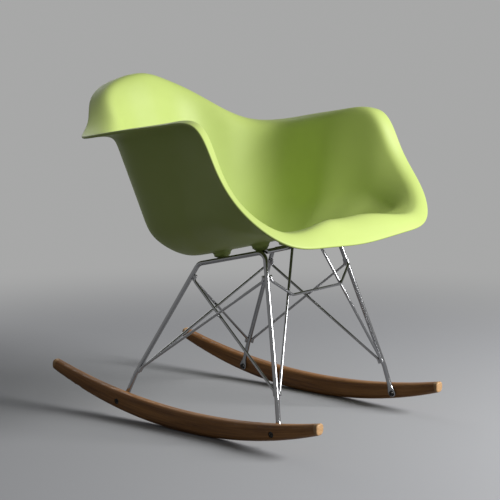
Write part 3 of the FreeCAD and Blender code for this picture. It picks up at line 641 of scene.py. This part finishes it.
def lip_poles():
    """Ten poles for each point of the edge: lip, wall, heel and flat."""
    spoke = edge[:, :2] - (0, BOWL_MIDDLE)
    way = unit(spoke)
    turn = np.arctan2(np.abs(spoke[:, 0]), -spoke[:, 1]) / math.pi
    front = eased(turn, ((0.06, 1.0), (0.42, 0.0)))[:, None]
    back = eased(turn, ((0.66, 0.0), (0.90, 1.0)))[:, None]
    up = np.array([0.0, 0.0, 1.0])

    def on_seat(reach):
        """Points of the seat's plane, this far from the bowl's middle."""
        flat = way * reach[:, None] + (0, BOWL_MIDDLE)
        return np.column_stack([flat, seat_plane(flat[:, 1])])

    inward = np.column_stack([-way, np.zeros(len(way))])
    knee = (edge + inward * eased(turn, LIP_WIDTHS)[:, None]
            + up * eased(turn, LIP_RISES)[:, None])
    crown = (edge + knee) / 2 + up * (CROWN_RISE + CROWN_SWELL * front)
    heel = on_seat((np.abs(way / (HEEL_OUT, HEEL_LONG)) ** HEEL_POWER).sum(1)
                   ** (-1 / HEEL_POWER) * (1 + eased(turn, HEEL_CORNERS)))
    flat = on_seat(((way / (FLAT_OUT, FLAT_LONG)) ** 2).sum(1) ** -0.5)
    drop = heel + up * HEEL_LIFT * (1 - front) - knee
    across = heel - flat
    first = FIRST_POLE + FIRST_POLE_BACK * back + FIRST_POLE_FRONT * front
    wall = [knee + drop * share for share in (first,) + WALL_POLES]
    seat = [flat + across * share for share in SEAT_POLES]
    return np.stack([edge, crown, knee] + wall + seat + [flat])


def pole_weights(poles, steps, degree=3):
    """How much each pole pulls at each step, built up degree by degree."""
    knots = np.concatenate([np.zeros(degree), np.linspace(0, 1, poles - degree + 1),
                            np.ones(degree)])
    at = np.clip(steps, 0, 1 - 1e-9)[:, None]
    weights = ((knots[:-1] <= at) & (at < knots[1:])).astype(float)
    for k in range(1, degree + 1):
        span = knots[k:] - knots[:-k]
        share = (at - knots[:-k]) / np.where(span > 0, span, 1)
        weights = share[:, :-1] * weights[:, :-1] + (1 - share[:, 1:]) * weights[:, 1:]
    return weights


def meridian_steps():
    """Steps from lip to flat, closer together over the lip and the heel."""
    even = np.linspace(0, 1, 76)
    return even - 0.045 * np.sin(2 * math.pi * even) * (1 - even)


def outward_normals(rows):
    """Square to the surface: the way round crossed with the way inwards."""
    round_way = np.roll(rows, -1, axis=1) - np.roll(rows, 1, axis=1)
    inward = np.gradient(rows, axis=0)
    return unit(np.cross(round_way, inward))


def shell_rings():
    """Rings from the middle of the under face, round the lip, to the seat's middle."""
    upper = np.einsum("sp,pcx->scx", pole_weights(10, meridian_steps()), lip_poles())
    normals = outward_normals(upper)
    normals[-1] = unit(np.array([0, SEAT_SLOPE, 1.0]))
    lower = upper - normals * SHELL_WALL
    inward = unit(upper[1] - upper[0])
    swing = np.radians(np.linspace(-75, 75, 9))[:, None, None]
    lip = (upper[0] - normals[0] * SHELL_WALL / 2
           + normals[0] * np.sin(swing) * SHELL_WALL / 2
           - inward * np.cos(swing) * SHELL_WALL * LIP_BULGE)
    shares = np.linspace(1, 0, 8)[1:-1, None, None]
    seat_middle = np.array([0, BOWL_MIDDLE, seat_plane(BOWL_MIDDLE)])
    under_middle = seat_middle - normals[-1, 0] * SHELL_WALL
    rings = np.vstack([(under_middle + (lower[-1] - under_middle) * shares)[::-1],
                       lower[::-1], lip, upper,
                       seat_middle + (upper[-1] - seat_middle) * shares])
    return rings, under_middle, seat_middle, lower


shell_grid, under_middle, seat_middle, under_face = shell_rings()
print("Shell grid", shell_grid.shape)

# %% [markdown]
# Four tapered bosses are moulded under the seat, each with a pocket for its
# threaded insert. A boss stands square on its pad, and its flank runs up and
# flares into the under face with a fillet, whose height is read from the
# nearest point of that face.

# %% The bosses
RAIL_OUT, RAIL_REAR, RAIL_FRONT = 0.120, 0.020, -0.147
RAIL_REAR_HEIGHT, RAIL_FRONT_HEIGHT = 0.318, 0.358
RAIL_TILT = math.atan2(RAIL_FRONT_HEIGHT - RAIL_REAR_HEIGHT, RAIL_REAR - RAIL_FRONT)
MOUNT_OUT, MOUNT_REAR, MOUNT_FRONT = 0.1041, -0.032, -0.128
TAB_THICK, PAD_THICK = 0.003, 0.0015
BOSS_TOP, BOSS_FOOT, BOSS_FILLET = 0.016, 0.0105, 0.009
BOSS_CORNER, BOSS_LEAN = 0.0012, 0.003
WALL_ROWS_START = 30
POCKET_RADIUS, POCKET_DEPTH = 0.00465, 0.010


def rail_point(depth, sign=1):
    """The point of a rail's middle line at this depth."""
    share = (RAIL_REAR - depth) / (RAIL_REAR - RAIL_FRONT)
    return np.array([sign * RAIL_OUT, depth, RAIL_REAR_HEIGHT
                     + share * (RAIL_FRONT_HEIGHT - RAIL_REAR_HEIGHT)])


def under_height(places):
    """Height of the under face over each place, from the nearest point's tangent plane."""
    flat = under_face[WALL_ROWS_START:].reshape(-1, 3)
    normals = -outward_normals(under_face)[WALL_ROWS_START:].reshape(-1, 3)
    away = ((places[..., None, :2] - flat[:, :2]) ** 2).sum(-1)
    near = away.argmin(-1)
    slope = (normals[near, :2] * (places[..., :2] - flat[near, :2])).sum(-1)
    return flat[near, 2] - slope / normals[near, 2]


def boss(depth, sign):
    """Rings of one boss: up its pocket is the start, inside the wall is the end."""
    round_way = np.linspace(0, 2 * math.pi, 64, endpoint=False)
    circle = np.stack([np.cos(round_way), np.sin(round_way), 0 * round_way], axis=-1)
    up = np.array([0, math.sin(RAIL_TILT), math.cos(RAIL_TILT)])
    fore = np.array([0, math.cos(RAIL_TILT), -math.sin(RAIL_TILT)])
    tilted = circle[:, :1] * (1, 0, 0) + circle[:, 1:2] * fore
    foot = rail_point(depth, sign) * (0, 1, 1) + (sign * MOUNT_OUT, 0, 0)
    foot = foot + up * (TAB_THICK / 2 + PAD_THICK)
    pocket_top = foot + up * POCKET_DEPTH
    top_centre = foot + (0, BOSS_LEAN, 0)
    corner = BOSS_CORNER
    rings = [pocket_top + tilted * POCKET_RADIUS, foot + tilted * POCKET_RADIUS,
             foot + tilted * (BOSS_FOOT - corner),
             foot + tilted * (BOSS_FOOT - corner * 0.3) + up * corner * 0.3,
             foot + tilted * BOSS_FOOT + up * corner]
    neck = top_centre + circle * BOSS_TOP
    neck[:, 2] = under_height(neck) - BOSS_FILLET
    rings += [rings[4] + (neck - rings[4]) * share for share in np.linspace(0, 1, 8)[1:]]
    for swing in np.radians(np.linspace(0, 90, 10)[1:]):
        ring = top_centre + circle * (BOSS_TOP + BOSS_FILLET * (1 - math.cos(swing)))
        ring[:, 2] = under_height(ring) - BOSS_FILLET * (1 - math.sin(swing))
        rings.append(ring)
    inside = rings[-1] + (0, 0, SHELL_WALL * 0.4)
    rings.append(inside)
    return np.array(rings), pocket_top, inside.mean(0)


bosses = [boss(depth, sign) for depth in (MOUNT_FRONT, MOUNT_REAR) for _, sign in SIDES]
add_mesh("shell_moulding", [(shell_grid, under_middle, seat_middle)] + bosses,
         SHELL_PLASTIC, ["seat_shell"])

# %% [markdown]
# A rod is a circle carried along its middle line. The line is given by a few
# corners: straight runs joined by arcs that touch both runs. The circle's two
# axes come from one fixed direction that no part of the line follows, so they
# are worked out for the whole line at once.

# %% Rods and wires
ROD, WIRE = 0.0095 / 2, 0.0055 / 2
ROD_BEND, WIRE_BEND = 0.018, 0.009


def bent_line(corners, bend, arc_steps=14):
    """Points along straight runs joined by tangent arcs."""
    corners = np.asarray(corners)
    line = [corners[:1]]
    for before, corner, after in zip(corners, corners[1:], corners[2:]):
        back, on = unit(before - corner), unit(after - corner)
        half = math.acos(np.clip(back @ on, -1, 1)) / 2
        start = corner + back * bend / math.tan(half)
        centre = corner + unit(back + on) * bend / math.sin(half)
        swing = np.linspace(0, math.pi - 2 * half, arc_steps)[:, None]
        line.append(centre + (start - centre) * np.cos(swing) - back * bend * np.sin(swing))
    line.append(corners[-1:])
    return np.vstack(line)


def sweep(line, reference, wide, thick, power, sides=28):
    """Rings along a line: a superellipse of the given half sizes at each point.

    Round sections have power 2; a larger power squares their sides.
    """
    tangent = unit(np.gradient(line, axis=0))
    across = unit(np.cross(np.broadcast_to(reference, line.shape), tangent))
    outward = np.cross(tangent, across)
    swing = np.linspace(0, 2 * math.pi, sides, endpoint=False)
    shape = 2 / power[:, None]
    first = np.sign(np.cos(swing)) * np.abs(np.cos(swing)) ** shape
    second = np.sign(np.sin(swing)) * np.abs(np.sin(swing)) ** shape
    return (line[:, None] + across[:, None] * (first * wide[:, None])[..., None]
            + outward[:, None] * (second * thick[:, None])[..., None])


def way_along(line):
    """Distance along a line at each of its points."""
    return np.append(0, np.cumsum(np.linalg.norm(np.diff(line, axis=0), axis=1)))


def rod(name, corners, radius, bend, reference, node):
    """A round rod with slightly rounded cut ends, in place of its frame node."""
    line = bent_line(corners, bend)
    corner = radius * 0.22
    starts, ends = unit(line[1] - line[0]), unit(line[-1] - line[-2])
    line = np.vstack([line[:1], line[0] + starts * corner * 0.3, line[0] + starts * corner,
                      line[1:-1], line[-1] - ends * corner, line[-1] - ends * corner * 0.3,
                      line[-1:]])
    radii = np.full(len(line), radius)
    radii[[0, -1]] -= corner
    radii[[1, -2]] -= corner * 0.3
    rings = sweep(line, reference, radii, radii, np.full(len(line), 2.0))
    return add_mesh(name, [(rings, line[0], line[-1])], CHROME, [node],
                    way_along(line))

# %% [markdown]
# Each side frame is one thick rod bent into an upside-down U. Its two feet are
# pressed flat in a die, so the round section swells into a flat eyelet. Here
# the section's half sizes change along the rod while its area stays alike.

# %% Side frames
KNEE_OUT, KNEE_HEIGHT, KNEE_REAR, KNEE_FRONT = 0.1805, 0.092, 0.135, -0.224
FOOT_ALONG = {"rear": 0.157, "front": -0.238}
BOLT_DROP = 0.003
EYELET_THICK, EYELET_RADIUS = 0.004, 0.0085
NECK_LENGTH, EYELET_CORNER, TIP_HALF = 0.021, 0.0012, 0.0004
# Places along a foot, from its tip, closer together where the section changes fast.
PRESS_STEPS = np.array([
    0, 0.0002, 0.0006, 0.0012, 0.002, 0.003, 0.0042, 0.0056, 0.0072, 0.0086,
    0.010, 0.012, 0.014, 0.0165, 0.019, 0.0215, 0.024, 0.027, 0.030])
INNER_FACE = ROCKER_OUT - ROCKER_THICK / 2
KNEE_DEPTH = {"rear": KNEE_REAR, "front": KNEE_FRONT}
RAIL_DEPTH = {"rear": RAIL_REAR, "front": RAIL_FRONT}


def foot_centre(end):
    """Depth and height of a foot's bolt."""
    along = FOOT_ALONG[end]
    return np.array(on_rocker(along, rocker_middle(along) - BOLT_DROP))


def knee_point(end, sign):
    """Where a leg turns to run down beside the rocker."""
    return np.array([sign * KNEE_OUT, KNEE_DEPTH[end], KNEE_HEIGHT])


def foot_tip(end, sign):
    """The end of the pressed eyelet, one radius past the bolt, beside the rocker."""
    foot = foot_centre(end)
    knee = knee_point(end, sign)
    down = unit(foot - knee[1:])
    lean = INNER_FACE - EYELET_THICK / 2
    return np.append(sign * lean, foot + down * EYELET_RADIUS), down


def side_frame(side, sign):
    """Round rod from foot to foot, its last stretches pressed into eyelets."""
    tips = {end: foot_tip(end, sign)[0] for end in ("rear", "front")}
    corners = [tips["rear"], knee_point("rear", sign), rail_point(RAIL_REAR, sign),
               rail_point(RAIL_FRONT, sign), knee_point("front", sign), tips["front"]]
    line = bent_line(corners, ROD_BEND, 18)
    first, last = unit(line[1] - line[0]), unit(line[-2] - line[-1])
    line = np.vstack([line[0] + first * PRESS_STEPS[:, None], line[1:-1],
                      line[-1] + last * PRESS_STEPS[::-1, None]])
    way = way_along(line)
    left = np.minimum(way, way[-1] - way)
    past = np.clip(left / EYELET_RADIUS, 0, 1)
    eyelet = EYELET_RADIUS * np.sqrt(1 - (1 - past) ** 2)
    blend = np.clip((left - EYELET_RADIUS) / NECK_LENGTH, 0, 1)
    blend = blend * blend * (3 - 2 * blend)
    wide = eyelet + (ROD - EYELET_RADIUS) * blend
    thick = (EYELET_THICK / 2) * (1 - 0.35 * (1 - np.clip(left / EYELET_CORNER, 0, 1)) ** 2)
    thick = thick + (ROD - EYELET_THICK / 2) * blend
    power = 5 - 3 * blend
    rings = sweep(line, (1.0, 0, 0), np.maximum(wide, TIP_HALF), thick, power, 40)
    return add_mesh("frame_rod_" + side, [(rings, line[0], line[-1])], CHROME,
                    ["side_frame_" + side], way)


for side, sign in SIDES:
    side_frame(side, sign)

# %% [markdown]
# The crossing wires lie against the legs, and each ends in a short stub bent
# along the leg, where it is welded. Two wires of a pair pass one in front of
# the other, so each lies a little to its own side of the leg.

# %% Crossing wires
WELD_GAP, STUB = 0.00015, 0.010
CROSS_WELD, BAR_WELD = 0.004, 0.005
UPPER_REAR, UPPER_FRONT = 0.289, 0.305
LOWER_REAR, LOWER_FRONT = 0.105, 0.109
TOUCH = ROD + WIRE + WELD_GAP
SIDE_SHARE = (WIRE + WELD_GAP) / TOUCH
SIDE_KEEP = math.sqrt(1 - SIDE_SHARE ** 2)
welds = []


def leg_point(end, sign, height):
    """The point of a leg's middle line at this height."""
    top = rail_point(RAIL_DEPTH[end], sign)
    knee = knee_point(end, sign)
    return top + (knee - top) * (top[2] - height) / (top[2] - knee[2])


def beside(end, sign, height, towards):
    """Where a wire's middle line lies against a leg, on the side named."""
    leg = unit(rail_point(RAIL_DEPTH[end], sign) - knee_point(end, sign))
    off = unit(np.asarray(towards, float) - leg * (leg @ towards))
    return leg_point(end, sign, height) + off * TOUCH, off, leg


def stub(end, sign, height, towards, rise):
    """The two points of a wire's end, and the weld that holds it to the leg."""
    tip = beside(end, sign, height + rise, towards)[0]
    turn, off, leg = beside(end, sign, height, towards)
    middle = (tip + turn) / 2 - off * (WIRE + WELD_GAP / 2)
    welds.append((middle, leg, off, abs(rise) * 0.95))
    return [tip, turn]


def wire(name, start, end, reference=(1.0, 0, 0)):
    """A wire between two stubs."""
    rod("wire_" + name, start + end[::-1], WIRE, WIRE_BEND, reference, name)
    return start[1], end[1]


def crossing(first, second):
    """The middle of the shortest link between two straight wires, and its way."""
    one, two = first[1] - first[0], second[1] - second[0]
    link = unit(np.cross(one, two))
    system = np.stack([one, -two, link], axis=1)
    share, other, _ = np.linalg.solve(system, second[0] - first[0])
    middle = (first[0] + one * share + second[0] + two * other) / 2
    return middle, unit(one), link


for side, sign in SIDES:
    inside, outside = -sign * SIDE_SHARE, sign * SIDE_SHARE
    rising = wire("side_brace_rising_" + side,
                  stub("rear", sign, LOWER_REAR, (outside, -SIDE_KEEP, 0), -STUB),
                  stub("front", sign, UPPER_FRONT, (outside, SIDE_KEEP, 0), STUB))
    falling = wire("side_brace_falling_" + side,
                   stub("rear", sign, UPPER_REAR, (inside, -SIDE_KEEP, 0), STUB),
                   stub("front", sign, LOWER_FRONT, (inside, SIDE_KEEP, 0), -STUB))
    welds.append(crossing(rising, falling) + (CROSS_WELD,))
rear_pair = []
for name, sign, shift in (("from_right", -1, SIDE_SHARE), ("from_left", 1, -SIDE_SHARE)):
    rear_pair.append(wire("rear_brace_" + name,
                          stub("rear", sign, UPPER_REAR, (-sign * SIDE_KEEP, shift, 0), STUB),
                          stub("rear", -sign, LOWER_REAR, (sign * SIDE_KEEP, shift, 0), -STUB),
                          (0, 1.0, 0)))
welds.append(crossing(*rear_pair) + (CROSS_WELD,))

# %% [markdown]
# In front, two struts rise from the feet of the front legs to a cross bar
# under the seat, and a U-shaped stretcher joins them ahead of the legs.

# %% Front wires
STRUT_HEAD, STRUT_OVERRUN = 0.043, 0.004
STRETCHER_HALF, STRETCHER_HEIGHT, STRETCHER_CLEAR = 0.079, 0.273, 0.0008
STRUT_FORWARD, STRETCHER_INWARD = 0.35, 0.6


def front_wires():
    """Cross bar, struts and stretcher, with the welds between them."""
    middle = rail_point(RAIL_FRONT, 0)
    reach = RAIL_OUT - ROD - WELD_GAP
    ends = [middle - (reach, 0, 0), middle + (reach, 0, 0)]
    rod("cross_bar", ends, ROD, ROD_BEND, (0, 0, 1.0), "front_cross_bar")
    for side, sign in SIDES:
        foot = stub("front", sign, LOWER_FRONT, (-sign, -STRUT_FORWARD, 0), -STUB)
        head = np.array([sign * STRUT_HEAD, middle[1] - TOUCH, middle[2]])
        top = head + unit(head - foot[1]) * STRUT_OVERRUN
        rod("strut_" + side, foot + [top], WIRE, WIRE_BEND, (0, 1.0, 0),
            "front_strut_" + side)
        share = (STRETCHER_HEIGHT - foot[1][2]) / (top[2] - foot[1][2])
        strut_depth = foot[1][1] + (top[1] - foot[1][1]) * share
        meeting = foot[1] + (top - foot[1]) * share
        welds.append((meeting - (0, WIRE, 0), unit(top - foot[1]),
                      np.array([0, -1.0, 0]), CROSS_WELD))
        welds.append((head + (0, WIRE, 0), np.array([1.0, 0, 0]),
                      np.array([0, -1.0, 0]), BAR_WELD))
    ahead = 2 * WIRE + STRETCHER_CLEAR
    corner = np.array([STRETCHER_HALF, strut_depth - ahead, STRETCHER_HEIGHT])
    right = stub("front", -1, UPPER_FRONT, (STRETCHER_INWARD, -1, 0), STUB)
    left = stub("front", 1, UPPER_FRONT, (-STRETCHER_INWARD, -1, 0), STUB)
    rod("stretcher", right + [corner * (-1, 1, 1), corner] + left[::-1], WIRE, WIRE_BEND,
        (0, 0.35, 1.0), "front_stretcher")


front_wires()

# %% [markdown]
# Each joint is held by a small weld, chromed over with the rest. A bead is a
# short, lumpy spindle lying in the corner between the two rods, one on each
# side. Its lumps are a few waves laid over the spindle, different at each weld.

# %% Welds
BEAD = 0.0017


def bead(middle, along, off, length, side, number):
    """A spindle: its radius is a half circle's height, rippled along and round."""
    lift = unit(np.cross(along, off)) * side
    centre = middle + lift * BEAD * 0.75
    rise = np.linspace(-0.98, 0.98, 17)
    swing = np.linspace(0, 2 * math.pi, 18, endpoint=False)
    ripple = (1 + 0.10 * np.sin(9 * rise + 1.7 * number)[:, None]
              + 0.08 * np.sin(2 * swing + 0.9 * number)[None])
    radius = BEAD * np.sqrt(1 - rise ** 2)[:, None] * ripple
    rings = (centre + along * (rise * length / 2)[:, None, None]
             + off * (radius * np.cos(swing))[..., None]
             + lift * (radius * np.sin(swing))[..., None])
    return rings, centre - along * length / 2, centre + along * length / 2


beads = []
for number, (middle, along, off, length) in enumerate(welds):
    beads += [bead(middle, unit(along), unit(off), length, side, number) for side in (-1, 1)]
add_mesh("wire_welds", beads, WELD_METAL)

# %% [markdown]
# The studio is plain. A soft lamp stands in front of the chair, low and a little
# to its left, so the near side lies in its own shade as in the photograph. A
# weaker lamp stands behind, and a dim world fills in. The camera, shiny pieces
# and clear ones see that world as a paler wall, and the floor fades into it.

# %% Studio
FLOOR_TONE, FLOOR_GIVES = (0.46, 0.465, 0.48), (0.12, 0.12, 0.125)
WORLD_TONE, WALL_TONE = (0.10, 0.102, 0.107), (0.39, 0.392, 0.39)
LAMPS = (("key", (0.87, -2.53, 1.37), 1.2, 118.0), ("back", (1.2, 2.7, 1.7), 1.8, 15.0))
AIM_AT = (0.0, 0.0, 0.40)
FADE_FROM, FADE_TO = 0.75, 1.9
FLOOR_REACH = 12.0


def seen_rays(tree):
    """1 for rays from the camera, from shiny pieces and through clear ones."""
    path = place(tree, "ShaderNodeLightPath")
    glossy = arithmetic(tree, "MAXIMUM", path.outputs["Is Camera Ray"],
                        path.outputs["Is Glossy Ray"])
    return arithmetic(tree, "MAXIMUM", glossy, path.outputs["Is Transmission Ray"])


def add_floor():
    """A wide flat disc at the height of the rockers' lowest line."""
    swing = np.linspace(0, 2 * math.pi, 64, endpoint=False)
    circle = np.stack([np.cos(swing), np.sin(swing), 0 * swing], axis=-1) * FLOOR_REACH
    mesh = bpy.data.meshes.new("floor")
    mesh.from_pydata(circle.tolist(), [], [list(range(len(circle)))])
    floor = bpy.data.objects.new("floor", mesh)
    bpy.context.scene.collection.objects.link(floor)
    material, tree, shader, at = new_material("floor", Specular_IOR_Level=0.0)
    drift = use(tree, SMEARS, Place=at.outputs["Object"], Scale=1.2, Low=0.4, High=0.6)
    tone = colours(tree, drift.outputs[0], (0.0, tuple(0.97 * c for c in FLOOR_TONE)),
                   (1.0, FLOOR_TONE))
    seen = seen_rays(tree)
    given = place(tree, "ShaderNodeMix", {"data_type": "RGBA"}, _0=seen,
                  _6=FLOOR_GIVES + (1.0,), _7=tone)
    tree.links.new(given.outputs[2], shader.inputs["Base Color"])
    shader.inputs["Roughness"].default_value = 1.0
    flat = place(tree, "ShaderNodeVectorMath", {"operation": "LENGTH"},
                 _0=at.outputs["Object"])
    away = place(tree, "ShaderNodeMapRange", {"interpolation_type": "SMOOTHSTEP"},
                 _0=flat.outputs["Value"], _1=FADE_FROM, _2=FADE_TO)
    share = arithmetic(tree, "MULTIPLY", away.outputs[0], seen)
    glow = place(tree, "ShaderNodeEmission", Color=WALL_TONE + (1.0,))
    blend = place(tree, "ShaderNodeMixShader", _0=share, _1=shader.outputs[0],
                  _2=glow.outputs[0])
    output = next(node for node in tree.nodes if node.type == "OUTPUT_MATERIAL")
    tree.links.new(blend.outputs[0], output.inputs["Surface"])
    mesh.materials.append(material)


def add_world():
    """A dim grey world that lights the chair, seen as a paler wall."""
    world = bpy.data.worlds.new("studio")
    world.use_nodes = True
    tree = world.node_tree
    light = tree.nodes["Background"]
    light.inputs["Color"].default_value = WORLD_TONE + (1.0,)
    wall = place(tree, "ShaderNodeBackground", Color=WALL_TONE + (1.0,))
    blend = place(tree, "ShaderNodeMixShader", _0=seen_rays(tree), _1=light.outputs[0],
                  _2=wall.outputs[0])
    output = next(node for node in tree.nodes if node.type == "OUTPUT_WORLD")
    tree.links.new(blend.outputs[0], output.inputs["Surface"])
    bpy.context.scene.world = world


def add_lamp(name, spot, width, power):
    """A square soft lamp that looks at the chair."""
    data = bpy.data.lights.new(name, "AREA")
    data.size, data.energy = width, power
    lamp = bpy.data.objects.new(name, data)
    lamp.location = spot
    aim(lamp, Vector(spot) - Vector(AIM_AT))
    bpy.context.scene.collection.objects.link(lamp)


add_floor()
for lamp in LAMPS:
    add_lamp(*lamp)
add_world()
print("Studio ready")
